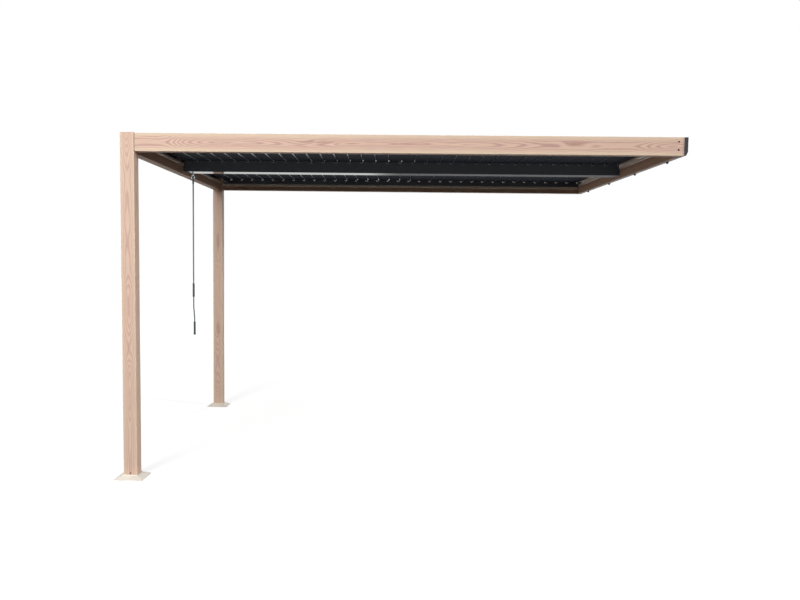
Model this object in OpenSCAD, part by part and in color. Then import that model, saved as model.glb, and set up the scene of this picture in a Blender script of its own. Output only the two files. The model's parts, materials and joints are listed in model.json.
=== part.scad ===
// Wall-mounted louvred pergola: two posts, four gutter beams, a wall ledger,
// a centre beam that carries a bank of tilting louvres, and a hand crank.
// Lengths are in millimetres. The origin is on the ledger's wall face, at
// mid-width and mid-height of the ledger, with +X pointing into the wall.

/* [Overall] */
// Outer face of the posts to the wall
span = 4000; // [3200:10:4400]
// Front face of the near post to the back face of the far post
depth = 3000; // [2400:10:3600]
// Ground to the top of the beams
height = 2500; // [2200:10:2800]

/* [Posts] */
// Width of the square posts
post_w = 100; // [90:1:130]
// Wall of the post tube
post_wall = 3; // [2:0.5:5]
// Rounding of the post's long edges
post_edge_r = 3; // [1:0.5:6]
// Height that a post stands above the beams
post_rise = 5; // [4:1:15]
// Thickness of the post caps
cap_t = 3; // [2:0.5:4]
// Depth of the cap's plug inside the tube
cap_plug = 12; // [6:1:25]

/* [Feet] */
// Side of the base plates
plate_w = 170; // [160:1:180]
// Thickness of the base plates
plate_t = 8; // [6:1:12]
// Radius of the anchor holes
anchor_r = 6.5; // [4:0.5:8]
// Distance between anchor holes, both ways
anchor_pitch = 138; // [128:1:146]
// Side of the flared base covers at the ground
cover_w = 209; // [200:1:230]
// Height of the base covers
cover_h = 30; // [24:1:50]
// Sheet of the base covers
cover_wall = 2; // [1.5:0.5:4]
// Height of the upright edge at the foot of a cover
cover_edge = 5; // [3:1:8]
// Width of the collar that stands round the post
collar_w = 10; // [6:1:16]

/* [Gutter beams] */
// Height of the beams
beam_h = 127; // [115:1:150]
// Width of the front, back and post-side beams
beam_w = 70; // [60:1:90]
// Width of the slim beam along the wall
wall_beam_w = 30; // [28:1:60]
// Wall of the beams
beam_wall = 3; // [2:0.5:4]
// Beam faces lie this far back from the post faces
setback = 2.5; // [1:0.5:6]
// Top of the front and back beams' inner hem above the underside
cross_lip_top = 68; // [56:1:76]
// Top of the side beams' inner hem above the underside
side_lip_top = 98; // [84:1:100]
// Height of the rounded hem along the top of each inner wall
lip_h = 24; // [16:1:30]
// Thickness of that hem
lip_t = 8; // [6:0.5:10]
// Inward return along the top of the outer wall
top_return = 16; // [8:1:18]
// Sheet of the cover strip over the post-side gutter
cover_strip_t = 2; // [1.5:0.5:3]
// Height of the trim that hangs under the strip's edge
cover_strip_edge = 8; // [6:1:12]

/* [Wall ledger] */
// Thickness of the ledger
ledger_t = 26; // [22:1:40]
// Wall of the ledger
ledger_wall = 3; // [2:0.5:4]
// Height of the chamfer along the foot of the wall face
ledger_chamfer_h = 25; // [10:1:40]
// Width of the same chamfer
ledger_chamfer_w = 12; // [6:1:14]
// Number of bolts under the ledger
bolt_count = 4; // [2:1:6]
// Distance of the end bolts from the ledger's ends
bolt_inset = 350; // [200:10:500]
// Washer radius of those bolts
washer_r = 12; // [9:0.5:14]
// Height of the bolt heads
bolt_head_h = 9; // [6:0.5:12]
// Radius of the bolt shanks
bolt_r = 4; // [3:0.5:5]

/* [Centre beam] */
// Width of the centre beam
mid_w = 150; // [130:1:180]
// Height of the centre beam
mid_h = 105; // [95:1:115]
// Wall of the centre beam
mid_wall = 3; // [2:0.5:5]
// Length of the shoes' tongues inside the centre beam
shoe_tongue = 36; // [25:1:45]

/* [Louvres] */
// Distance from one louvre's axis to the next
pitch = 113.2; // [112:0.2:115]
// First louvre's axis from the posts' outer face
first_axis = 194.5; // [190:0.5:200]
// Depth of the louvre axes below the beam tops
axis_drop = 10; // [10:0.5:18]
// Gap between the posts and the first louvre's edge
post_gap = 6.5; // [6:0.5:10]
// Gap between the gutter's cover strip and the first louvre's edge
strip_gap = 6; // [5.5:0.5:9]
// Least distance from the last moving axis to the wall-side beam
last_clear = 80; // [76:1:100]
// Gap between the fixed closing blade and the wall-side beam
closing_gap = 1; // [0.5:0.5:3]
// Wall of the louvre blades
blade_wall = 2; // [1.5:0.25:2.5]
// Height of the blades' datum above their axes
blade_rise = 12; // [8:1:12]
// Underside of a blade below its datum
blade_low = 9; // [8:0.5:11]
// Top of a blade above its datum at the hook
blade_top = 7.5; // [6:0.5:9]
// Fall of the blade's top towards the trough
blade_fall = 2; // [0:0.5:3]
// Height of the drip trough's lip
trough_h = 8; // [6:0.5:9]
// Outer face of the trough's lip, from the axis
seam_x = 13; // [12:0.5:14]
// Right wall of the hollow body, left of the axis
body_right = 4; // [3:0.5:6]
// Light slit between one trough and the next blade
seam_gap = 5.5; // [5:0.5:7]
// Clearance of a hook from the body of the blade before it
hook_gap = 6; // [5:0.5:7]
// Depth that a hook hangs below the blade's datum
hook_drop = 2; // [1:0.5:2]
// Thickness of the end caps
end_cap_t = 3; // [2:0.5:4]
// Running gap between the end caps and the rails
end_gap = 5; // [5:0.5:8]
// Radius of the lug round each pivot
lug_r = 8.5; // [7:0.5:8.5]
// Radius of the pivot pins and shafts
pin_r = 4; // [3:0.5:5]
// Clearance round the pivot pins
pin_clear = 0.5; // [0.3:0.1:0.8]
// Length of pin beyond the rail
pin_tail = 4; // [2:0.5:6]
// Thickness of the louvre rails
rail_t = 4; // [3:0.5:6]
// Depth of the louvre rails below the beam tops
rail_drop = 100; // [80:1:110]
// Gap above the louvre rails
rail_top_gap = 2; // [1:0.5:3]

/* [Drive] */
// Lever pin to the right of the louvre axis
lever_x = 30; // [24:1:34]
// Lever pin below the louvre axis
lever_z = 17; // [16:1:20]
// Thickness of the levers
lever_t = 4; // [3:0.5:6]
// Radius of the lever's ends
lever_r = 7; // [6:0.5:8]
// Half height of the lever between its ends
lever_waist = 5; // [4:0.5:5.5]
// Radius of the lever pins
lever_pin_r = 3; // [2:0.5:3.5]
// Thickness of the drive bar
bar_t = 3; // [3:0.5:5]
// Height of the drive bar
bar_h = 14; // [12:0.5:14]
// Length of the bar beyond its end pins
bar_end = 15; // [12:1:20]
// Gap between the levers and the drive bar
bar_gap = 1; // [0.5:0.25:2]

/* [Crank] */
// Crank axis from the posts' outer face
crank_x = 150; // [140:1:154]
// Crank axis in front of the centre beam's middle
crank_fore = 35; // [32:1:38]
// Width of the gearbox
gearbox_w = 56; // [50:1:60]
// Depth of the gearbox, front to back
gearbox_d = 50; // [44:1:54]
// Height of the gearbox
gearbox_h = 60; // [45:1:70]
// Radius of the input shaft
input_r = 7; // [5:0.5:9]
// Length of the input shaft below the centre beam
input_drop = 28; // [20:1:40]
// Length of the input shaft inside the gearbox
input_hold = 26; // [15:1:35]
// Radius of the eye's ring, to the middle of its bar
eye_r = 13.5; // [12:0.5:16]
// Radius of the bar of the eye and of the hook
eye_bar_r = 4.5; // [3.5:0.5:5]
// Length of the socket between hook and rod
socket_len = 30; // [20:1:50]
// Radius of that socket
socket_r = 8.5; // [7:0.5:11]
// Radius of the crank rod
rod_r = 6; // [4:0.5:7]
// Length of the straight rod down to the bend
rod_len = 1090; // [800:10:1300]
// Sideways reach of the crank bend
crank_throw = 112; // [70:1:160]
// Angle of the crank bend
bend_angle = 50; // [35:1:70]
// Radius of the two curves of the bend
bend_r = 30; // [20:1:36]
// Direction of the bend round the crank axis
bend_dir = -72; // [-180:1:180]
// Straight rod between the bend and the lower grip
rod_tail = 26; // [15:1:60]
// Length of the upper grip
upper_grip_len = 118; // [80:1:150]
// Upper grip's distance above the bend
upper_grip_rise = 74; // [40:1:120]
// Length of the lower grip
lower_grip_len = 108; // [80:1:150]
// Radius of the grips
grip_r = 9.5; // [8:0.5:14]
// Wall of the grips' end collars, beyond the grips
grip_collar = 2; // [1:0.5:3]

/* [Hidden] */
// Clearance between pieces that seat on each other
seat = 0.3;
arc_fn = 48;

// Places along X of the wall side, measured from the posts' outer face
ledger_x = span - ledger_t;
wall_beam_x = ledger_x - wall_beam_w;
louvre_count = floor((wall_beam_x - first_axis - last_clear) / pitch) + 1;

louvre_names = [for (i = [1 : louvre_count]) str("louvre_", i < 10 ? "0" : "", i)];

// Levels, measured up from the ground
beam_z = height - beam_h;
ledger_mid_z = beam_z + beam_h / 2;
axis_z = height - axis_drop;
mid_z = height - mid_h;

// Centre beam's ends, clear of the hems that stand out from the side beams
lip_out = lip_t + 0.5 - beam_wall;
mid_clear = lip_out + 0.5;
mid_x0 = setback + beam_w + mid_clear;
mid_x1 = wall_beam_x - mid_clear;

// Places along Y, measured from the near post's front face
beam_inner_y = setback + beam_w;
rail_y = beam_inner_y - beam_wall;
mid_y0 = (depth - mid_w) / 2;
cap_y0 = rail_y + end_gap;
cap_y1 = mid_y0 - end_gap;
blade_y0 = cap_y0 + end_cap_t + seat;
blade_y1 = cap_y1 - end_cap_t - seat;

// Louvre section, measured from the louvre axis and the blade's datum
blade_left = seam_x + seam_gap - pitch;
hook_left = hook_gap - body_right - pitch;
first_left = post_w + post_gap - first_axis;
closing_x = wall_beam_x - closing_gap - seam_x;
top_slope = blade_fall / (hook_left + body_right);
function top_at(x) = blade_top - top_slope * (hook_left - x);
last_sweep = norm([body_right, blade_rise + top_at(-body_right)]);
closing_left = axis_x(louvre_count - 1) + last_sweep + seam_gap - closing_x;

// Drive, measured from the middle of the centre beam
lever_y = 0;
bar_y = lever_y + lever_t + bar_gap;

// Crank bend
bend_run = (crank_throw - 2 * bend_r * (1 - cos(bend_angle))) / sin(bend_angle);
bend_drop = 2 * bend_r * sin(bend_angle) + bend_run * cos(bend_angle);
bend_steps = 3;
knuckle = 0.15;
function curve_point(i) =
    bend_r * [1 - cos(bend_angle * i / bend_steps), 0, -sin(bend_angle * i / bend_steps)];
eye_z = mid_z - input_drop - eye_r;
hook_z = eye_z - eye_r + 2 * eye_bar_r + seat - eye_r;
socket_z = hook_z - eye_r - socket_len;
bend_z = socket_z - rod_len;

wood = [0.84, 0.72, 0.63];
black = [0.13, 0.13, 0.15];
cream = [0.95, 0.92, 0.86];
steel = [0.72, 0.74, 0.75];
teal_grey = [0.36, 0.42, 0.42];

// Moves a piece measured from the near post's outer front corner at the
// ground to its place about the origin on the wall face.
module site() {
    translate([-span, -depth / 2, -ledger_mid_z]) children();
}

// Mirrors a piece of the front half to the back half.
module at_back() {
    translate([0, depth, 0]) mirror([0, 1, 0]) children();
}

// Extrudes a section drawn in Y and Z along +X.
module along_x(x0, x1) {
    translate([x0, 0, 0]) rotate([90, 0, 90]) linear_extrude(x1 - x0) children();
}

// Extrudes a section drawn in X and Z along +Y.
module along_y(y0, y1) {
    translate([0, y1, 0]) rotate([90, 0, 0]) linear_extrude(y1 - y0) children();
}

// Cylinder from y0 to y1 about an axis along Y.
module rod_y(r, y0, y1) {
    translate([0, y1, 0]) rotate([90, 0, 0]) cylinder(r = r, h = y1 - y0, $fn = arc_fn);
}

// Square with rounded corners, centred.
module round_square(w, r) {
    square([w, w - 2 * r], center = true);
    square([w - 2 * r, w], center = true);
    for (sx = [-1, 1], sy = [-1, 1])
        translate([sx * (w / 2 - r), sy * (w / 2 - r)]) circle(r = r, $fn = arc_fn);
}

// Centre of the near post; the far post mirrors it.
module at_near_post() {
    translate([post_w / 2, post_w / 2, 0]) children();
}

module post() {
    tube_h = height + post_rise - cap_t - plate_t;
    at_near_post() translate([0, 0, plate_t]) linear_extrude(tube_h) difference() {
        round_square(post_w, post_edge_r);
        square(post_w - 2 * post_wall, center = true);
    }
}

module near_post() {
    color(wood) site() post();
}

module far_post() {
    color(wood) site() at_back() post();
}

module post_cap() {
    plug_w = post_w - 2 * post_wall - 2 * seat;
    at_near_post() translate([0, 0, height + post_rise - cap_t]) {
        linear_extrude(cap_t) round_square(post_w, post_edge_r);
        translate([-plug_w / 2, -plug_w / 2, -cap_plug]) cube([plug_w, plug_w, cap_plug]);
    }
}

module post_caps() {
    color(wood) site() {
        post_cap();
        at_back() post_cap();
    }
}

module base_plate() {
    at_near_post() difference() {
        translate([-plate_w / 2, -plate_w / 2, 0]) cube([plate_w, plate_w, plate_t]);
        for (sx = [-1, 1], sy = [-1, 1])
            translate([sx * anchor_pitch / 2, sy * anchor_pitch / 2, -1])
                cylinder(r = anchor_r, h = plate_t + 2, $fn = arc_fn);
    }
}

module base_plates() {
    color(steel) site() {
        base_plate();
        at_back() base_plate();
    }
}

// Flared skirt: an upright edge, a slope and a collar, inset by t all round.
module skirt(t) {
    foot_w = cover_w - 2 * t;
    collar = post_w + 2 * collar_w - 2 * t;
    slope_h = cover_h - 2 * cover_edge;
    translate([0, 0, -0.01 * t]) linear_extrude(cover_edge + 0.01 * t) square(foot_w, center = true);
    translate([0, 0, cover_edge])
        linear_extrude(slope_h, scale = collar / foot_w) square(foot_w, center = true);
    translate([0, 0, cover_edge + slope_h])
        linear_extrude(cover_edge - t) square(collar, center = true);
}

module base_cover() {
    hole_w = post_w + 2 * seat;
    at_near_post() difference() {
        skirt(0);
        skirt(cover_wall);
        translate([-hole_w / 2, -hole_w / 2, -1]) cube([hole_w, hole_w, cover_h + 2]);
    }
}

module base_covers() {
    color(cream) site() {
        base_cover();
        at_back() base_cover();
    }
}

// Open gutter section of width w: outer wall with a return, floor and an
// inner wall whose hem ends at the height top.
module gutter_section(w, top) {
    polygon([
        [0, 0], [w, 0], [w, top - lip_t],
        [w - beam_wall, top - lip_t], [w - beam_wall, beam_wall],
        [beam_wall, beam_wall], [beam_wall, beam_h - beam_wall],
        [top_return, beam_h - beam_wall], [top_return, beam_h], [0, beam_h]
    ]);
}

// Rounded hem that stands out from the inner wall.
module lip_section(w, top) {
    hem_r = lip_t / 2;
    translate([w + lip_out - hem_r, top - hem_r]) {
        circle(r = hem_r, $fn = arc_fn);
        translate([0, lip_t - lip_h]) circle(r = hem_r, $fn = arc_fn);
        translate([-hem_r, lip_t - lip_h]) square([lip_t, lip_h - lip_t]);
    }
}

// Front beam; its hem stops at the hem of the wall-side beam.
module cross_beam() {
    translate([0, setback, beam_z]) {
        along_x(post_w, ledger_x) gutter_section(beam_w, cross_lip_top);
        along_x(post_w, mid_x1) lip_section(beam_w, cross_lip_top);
    }
}

module front_beam() {
    color(wood) site() cross_beam();
}

module back_beam() {
    color(wood) site() at_back() cross_beam();
}

module post_side_beam() {
    color(wood) site() translate([setback, 0, beam_z]) along_y(post_w, depth - post_w) {
        gutter_section(beam_w, side_lip_top);
        lip_section(beam_w, side_lip_top);
    }
}

module wall_side_beam() {
    color(wood) site() translate([ledger_x, 0, beam_z]) mirror([1, 0, 0])
        along_y(beam_inner_y, depth - beam_inner_y) {
            gutter_section(wall_beam_w, side_lip_top);
            lip_section(wall_beam_w, side_lip_top);
        }
}

// Ledger section inset by t: flat against the wall, chamfered at its foot.
module ledger_section(t) {
    run = ledger_t - t;
    polygon([
        [t, t], [run - ledger_chamfer_w, t], [run, t + ledger_chamfer_h],
        [run, beam_h - t], [t, beam_h - t]
    ]);
}

// X and Y places of the bolts under the ledger.
module at_ledger_bolts() {
    step = (depth - 2 * bolt_inset) / (bolt_count - 1);
    for (i = [0 : bolt_count - 1])
        translate([(ledger_t - ledger_chamfer_w) / 2, bolt_inset + i * step, 0]) children();
}

module wall_ledger() {
    color(black) site() translate([ledger_x, 0, beam_z]) difference() {
        along_y(cap_t, depth - cap_t) difference() {
            ledger_section(0);
            ledger_section(ledger_wall);
        }
        at_ledger_bolts() translate([0, 0, -1])
            cylinder(r = bolt_r + seat, h = ledger_wall + 2, $fn = arc_fn);
    }
}

module ledger_end_caps() {
    color(black) site() translate([ledger_x, 0, beam_z]) {
        along_y(0, cap_t) ledger_section(0);
        along_y(depth - cap_t, depth) ledger_section(0);
    }
}

module ledger_bolts() {
    washer_t = 2.5;
    color(black) site() translate([ledger_x, 0, beam_z]) at_ledger_bolts() {
        translate([0, 0, -washer_t]) cylinder(r = washer_r, h = washer_t, $fn = arc_fn);
        translate([0, 0, -washer_t - bolt_head_h])
            cylinder(r = washer_r * 0.75, h = bolt_head_h, $fn = 6);
        cylinder(r = bolt_r, h = ledger_wall + 6, $fn = arc_fn);
    }
}

// X places of the louvre axes, and of all pins with the closing blade's.
function axis_x(i) = first_axis + i * pitch;
pin_places = concat([for (i = [0 : louvre_count - 1]) axis_x(i)], [closing_x]);

module louvre_rail() {
    rail_z0 = height - rail_drop;
    rail_h = rail_drop - rail_top_gap;
    end_inset = 1;
    difference() {
        translate([post_w + end_inset, rail_y - rail_t, rail_z0])
            cube([ledger_x - post_w - 2 * end_inset, rail_t, rail_h]);
        for (x = pin_places)
            translate([x, 0, axis_z])
                rod_y(pin_r + pin_clear, rail_y - rail_t - 1, rail_y + 1);
    }
}

module front_louvre_rail() {
    color(black) site() louvre_rail();
}

module back_louvre_rail() {
    color(black) site() at_back() louvre_rail();
}

// Open-topped channel that carries the louvre shafts and hides the drive bar.
module mid_beam() {
    color(black) site() difference() {
        translate([mid_x0, mid_y0, mid_z]) cube([mid_x1 - mid_x0, mid_w, mid_h]);
        translate([mid_x0 - 1, mid_y0 + mid_wall, mid_z + mid_wall])
            cube([mid_x1 - mid_x0 + 2, mid_w - 2 * mid_wall, mid_h]);
        for (x = pin_places)
            translate([x, 0, axis_z])
                rod_y(pin_r + pin_clear, mid_y0 - 1, mid_y0 + mid_w + 1);
        translate([crank_x, depth / 2 - crank_fore, mid_z - 1])
            cylinder(r = input_r + 2, h = mid_wall + 2, $fn = arc_fn);
    }
}

// Shoe that carries one end of the centre beam: a pad on the gutter wall
// below its hem, and a tongue along the floor of the channel.
module mid_shoe() {
    pad_h = beam_z + side_lip_top - lip_h - 0.5 - mid_z;
    tongue_w = mid_w - 2 * mid_wall - 2 * seat;
    tongue_t = 6;
    translate([0, mid_y0, mid_z]) {
        cube([mid_clear, mid_w, pad_h]);
        translate([0, mid_wall + seat, mid_wall])
            cube([mid_clear + shoe_tongue, tongue_w, tongue_t]);
    }
}

module mid_beam_shoes() {
    color(black) site() {
        translate([setback + beam_w, 0, 0]) mid_shoe();
        translate([wall_beam_x, 0, 0]) mirror([1, 0, 0]) mid_shoe();
    }
}

// Strip under the post-side beam's return that covers its gutter as far as
// the first louvre, cut out round the centre beam, with a trim under its edge.
module gutter_cover() {
    x0 = setback + beam_wall + seat;
    x1 = post_w + post_gap - strip_gap;
    y0 = post_w + seat;
    sheet_z = height - beam_wall - seat - cover_strip_t;
    trim_y1 = mid_y0 - 0.5;
    trim_z = sheet_z - seat - cover_strip_edge;
    color(black) site() {
        difference() {
            translate([x0, y0, sheet_z]) cube([x1 - x0, depth - 2 * y0, cover_strip_t]);
            translate([mid_x0 - 0.5, mid_y0 - 0.5, sheet_z - 1])
                cube([x1, mid_w + 1, cover_strip_t + 2]);
        }
        for (y = [y0, depth - trim_y1])
            translate([x1 - cover_strip_t, y, trim_z])
                cube([cover_strip_t, trim_y1 - y0, cover_strip_edge]);
    }
}

// Blade from x = left: hollow body, drip trough on the right, and on the
// left a hook that reaches over the trough before it, or a plain edge.
module blade_section(left, hooked) {
    hook = [
        [hook_left, blade_top], [hook_left, -hook_drop],
        [hook_left + blade_wall, -hook_drop],
        [hook_left + blade_wall, top_at(hook_left + blade_wall) - blade_wall],
        [left, top_at(left) - blade_wall]
    ];
    translate([0, blade_rise]) difference() {
        polygon(concat([
            [left, -blade_low], [seam_x, -blade_low],
            [seam_x, trough_h - blade_low], [seam_x - blade_wall, trough_h - blade_low],
            [seam_x - blade_wall, blade_wall - blade_low],
            [-body_right, blade_wall - blade_low], [-body_right, top_at(-body_right)]
        ], hooked ? hook : [[left, top_at(left)]]));
        polygon([
            [left + blade_wall, blade_wall - blade_low],
            [-body_right - blade_wall, blade_wall - blade_low],
            [-body_right - blade_wall, top_at(-body_right) - blade_wall],
            [left + blade_wall, top_at(left + blade_wall) - blade_wall]
        ]);
    }
}

// Outline of an end cap: the hollow body and the lug round the pivot.
module cap_section(left) {
    translate([0, blade_rise]) polygon([
        [left, -blade_low], [-body_right, -blade_low],
        [-body_right, top_at(-body_right)], [left, top_at(left)]
    ]);
    circle(r = lug_r, $fn = arc_fn);
}

// End cap with the stub pin that turns in the front rail.
module pin_cap(left) {
    along_y(cap_y0, cap_y0 + end_cap_t) cap_section(left);
    rod_y(pin_r, rail_y - rail_t - pin_tail, cap_y0 + end_cap_t / 2);
}

// End cap at the centre beam, bored for the shaft.
module shaft_cap(left) {
    along_y(cap_y1 - end_cap_t, cap_y1) difference() {
        cap_section(left);
        circle(r = pin_r + seat, $fn = arc_fn);
    }
}

// Shaft through the centre beam with its lever.
module drive_shaft() {
    reach = norm([lever_x, lever_z]);
    mid_y = depth / 2;
    rod_y(pin_r, cap_y1 - end_cap_t / 2, depth - cap_y1 + end_cap_t / 2);
    translate([0, mid_y + lever_y, 0]) {
        rod_y(lever_r, 0, lever_t);
        rotate([0, atan2(lever_z, lever_x), 0])
            translate([0, 0, -lever_waist]) cube([reach, lever_t, 2 * lever_waist]);
        translate([lever_x, 0, -lever_z]) {
            rod_y(lever_r, 0, lever_t);
            rod_y(lever_pin_r, lever_t / 2, lever_t + bar_gap + bar_t + pin_tail);
        }
    }
}

// Front half of a louvre: blade and both end caps.
module half_louvre(left, hooked) {
    along_y(blade_y0, blade_y1) blade_section(left, hooked);
    pin_cap(left);
    shaft_cap(left);
}

// Louvre i; the first has a plain edge beside the posts instead of a hook.
module louvre(i) {
    left = i > 0 ? blade_left : first_left;
    color(black) site() translate([axis_x(i), 0, axis_z]) {
        half_louvre(left, i > 0);
        at_back() half_louvre(left, i > 0);
        drive_shaft();
    }
}

// Closing blade beside the wall, held still by pins in the rails and in the
// walls of the centre beam.
module closing_half() {
    pin_end = mid_y0 + mid_wall + pin_tail;
    along_y(blade_y0, blade_y1) blade_section(closing_left, false);
    pin_cap(closing_left);
    along_y(cap_y1 - end_cap_t, cap_y1) cap_section(closing_left);
    rod_y(pin_r, cap_y1 - end_cap_t / 2, pin_end);
}

module closing_blade() {
    color(black) site() translate([closing_x, 0, axis_z]) {
        closing_half();
        at_back() closing_half();
    }
}

// Bar that links every lever, so all louvres tilt together.
module drive_bar() {
    y0 = depth / 2 + bar_y;
    length = (louvre_count - 1) * pitch + 2 * bar_end;
    color(steel) site() translate([first_axis + lever_x, 0, axis_z - lever_z]) difference() {
        translate([-bar_end, y0, -bar_h / 2]) cube([length, bar_t, bar_h]);
        for (i = [0 : louvre_count - 1])
            translate([i * pitch, 0, 0]) rod_y(lever_pin_r + seat, y0 - 1, y0 + bar_t + 1);
    }
}

// Moves a piece to the crank's axis, at ground level.
module at_crank() {
    translate([crank_x, depth / 2 - crank_fore, 0]) children();
}

module crank_gearbox() {
    bore_h = input_hold + 2;
    color(black) site() at_crank() translate([0, 0, mid_z + mid_wall]) difference() {
        translate([-gearbox_w / 2, -gearbox_d / 2, 0]) cube([gearbox_w, gearbox_d, gearbox_h]);
        translate([0, 0, -1]) cylinder(r = input_r + pin_clear, h = bore_h + 1, $fn = arc_fn);
    }
}

module ring(r, bar_r) {
    rotate([90, 0, 0]) rotate_extrude($fn = arc_fn) translate([r, 0]) circle(r = bar_r, $fn = 24);
}

module crank_eye() {
    color(steel) site() at_crank() {
        translate([0, 0, eye_z + eye_r])
            cylinder(r = input_r, h = input_drop + mid_wall + input_hold, $fn = arc_fn);
        translate([0, 0, eye_z]) ring(eye_r, eye_bar_r);
    }
}

// Bent rod: hook, socket, straight length, double bend and tail.
module crank_rod() {
    color(teal_grey) site() at_crank() {
        translate([0, 0, hook_z]) rotate([0, 0, 90]) ring(eye_r, eye_bar_r);
        translate([0, 0, socket_z])
            cylinder(r = socket_r, h = socket_len + eye_bar_r / 2, $fn = arc_fn);
        translate([0, 0, bend_z]) cylinder(r = rod_r, h = rod_len + 1, $fn = arc_fn);
        rotate([0, 0, bend_dir]) translate([0, 0, bend_z]) bend();
    }
}

// Straight stretch of rod between two points.
module stretch(a, b) {
    d = b - a;
    translate(a) rotate([0, acos(d.z / norm(d)), atan2(d.y, d.x)])
        cylinder(r = rod_r, h = norm(d), $fn = arc_fn);
}

// Double bend and tail: short stretches joined by knuckles.
module bend() {
    bend_end = [crank_throw, 0, -bend_drop];
    first_curve = [for (i = [0 : bend_steps]) curve_point(i)];
    last_curve = [for (i = [bend_steps : -1 : 0]) bend_end - curve_point(i)];
    path = concat(first_curve, last_curve);
    for (i = [1 : len(path) - 1]) stretch(path[i - 1], path[i]);
    for (p = path) translate(p) sphere(r = rod_r + knuckle, $fn = arc_fn);
    translate(bend_end - [0, 0, rod_tail + lower_grip_len])
        cylinder(r = rod_r, h = rod_tail + lower_grip_len, $fn = arc_fn);
}

// Sleeve grip with a collar at each end, bored for the rod.
module grip(length) {
    bore = rod_r + seat;
    difference() {
        union() {
            cylinder(r = grip_r, h = length, $fn = arc_fn);
            cylinder(r = grip_r + grip_collar, h = 2 * grip_collar, $fn = arc_fn);
            translate([0, 0, length - 2 * grip_collar])
                cylinder(r = grip_r + grip_collar, h = 2 * grip_collar, $fn = arc_fn);
        }
        translate([0, 0, -1]) cylinder(r = bore, h = length + 2, $fn = arc_fn);
    }
}

module crank_grips() {
    knob_h = 8;
    color(black) site() at_crank() {
        translate([0, 0, bend_z + upper_grip_rise]) grip(upper_grip_len);
        rotate([0, 0, bend_dir])
            translate([crank_throw, 0, bend_z - bend_drop - rod_tail - lower_grip_len]) {
                grip(lower_grip_len);
                translate([0, 0, -knob_h]) cylinder(r = grip_r, h = knob_h, $fn = arc_fn);
            }
    }
}

near_post();
far_post();
post_caps();
base_plates();
base_covers();
front_beam();
back_beam();
post_side_beam();
wall_side_beam();
wall_ledger();
ledger_end_caps();
ledger_bolts();
front_louvre_rail();
back_louvre_rail();
mid_beam();
mid_beam_shoes();
gutter_cover();
closing_blade();
crank_gearbox();
drive_bar();
crank_eye();
crank_rod();
crank_grips();
for (i = [0 : louvre_count - 1])
    louvre(i);
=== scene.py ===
"""Finishes, small fittings and studio stage of the wall-mounted louvred pergola."""
import json
import math

import bpy
from mathutils import Matrix, Vector

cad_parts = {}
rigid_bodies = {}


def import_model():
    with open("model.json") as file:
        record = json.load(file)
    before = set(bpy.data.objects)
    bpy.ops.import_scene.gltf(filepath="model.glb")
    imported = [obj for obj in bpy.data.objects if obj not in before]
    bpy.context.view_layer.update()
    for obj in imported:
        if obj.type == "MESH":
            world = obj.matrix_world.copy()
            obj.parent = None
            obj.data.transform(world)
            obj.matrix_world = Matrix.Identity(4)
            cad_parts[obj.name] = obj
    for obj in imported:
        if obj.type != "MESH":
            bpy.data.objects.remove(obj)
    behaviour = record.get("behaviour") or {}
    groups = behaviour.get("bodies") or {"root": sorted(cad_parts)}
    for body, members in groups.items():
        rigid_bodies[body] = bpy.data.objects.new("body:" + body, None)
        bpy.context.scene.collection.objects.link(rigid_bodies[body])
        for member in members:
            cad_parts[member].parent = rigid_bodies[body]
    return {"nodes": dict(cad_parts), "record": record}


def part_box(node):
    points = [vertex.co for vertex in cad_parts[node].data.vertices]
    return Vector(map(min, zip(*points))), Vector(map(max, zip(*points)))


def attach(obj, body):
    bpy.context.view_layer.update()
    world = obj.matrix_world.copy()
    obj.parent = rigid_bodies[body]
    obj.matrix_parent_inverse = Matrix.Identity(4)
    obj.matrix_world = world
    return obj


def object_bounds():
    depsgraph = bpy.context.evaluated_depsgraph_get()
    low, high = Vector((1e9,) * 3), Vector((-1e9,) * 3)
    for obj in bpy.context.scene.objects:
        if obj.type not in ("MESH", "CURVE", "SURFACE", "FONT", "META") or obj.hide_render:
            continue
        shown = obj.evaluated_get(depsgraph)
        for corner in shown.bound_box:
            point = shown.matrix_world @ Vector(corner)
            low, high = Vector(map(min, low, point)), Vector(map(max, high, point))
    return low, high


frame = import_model()

bl_info = {
    "name": "Louvred Pergola Finishes",
    "version": (1, 0, 0),
    "blender": (4, 5, 0),
    "location": "View3D > Sidebar > Pergola",
    "description": "Dresses the louvred pergola in its finishes and adds its small fittings",
    "category": "Object",
}

CAD_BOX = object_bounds()
RECORD = frame["record"]
JOINTS = {joint["name"]: joint for joint in RECORD["behaviour"]["joints"]}
LOUVRES = sorted(node for node in frame["nodes"] if node.startswith("louvre_"))
STATIC = "frame"
BLACK = (0.0, 0.0, 0.0, 1.0)

# Sizes that several pieces share, in metres
TROUGH_REACH = 0.013
HEM_HEIGHT = 0.024
GRIT_BUMP = 0.0002


def linear(red, green, blue):
    """Scene-linear colour of a display colour given from 0 to 255."""
    def one(value):
        value /= 255
        return value / 12.92 if value <= 0.04045 else ((value + 0.055) / 1.055) ** 2.4
    return (one(red), one(green), one(blue), 1.0)


def grey(value):
    """Neutral scene-linear colour."""
    return (value, value, value, 1.0)


def darkened(colour, share):
    """The same colour with this share of its light."""
    return tuple(channel * share for channel in colour[:3]) + (1.0,)


def louvre_axis(node):
    """Point on the pivot axis of a louvre."""
    return Vector(JOINTS[node + "_tilt"]["pos_m"])


# ---------------------------------------------------------------- shader maths

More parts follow.
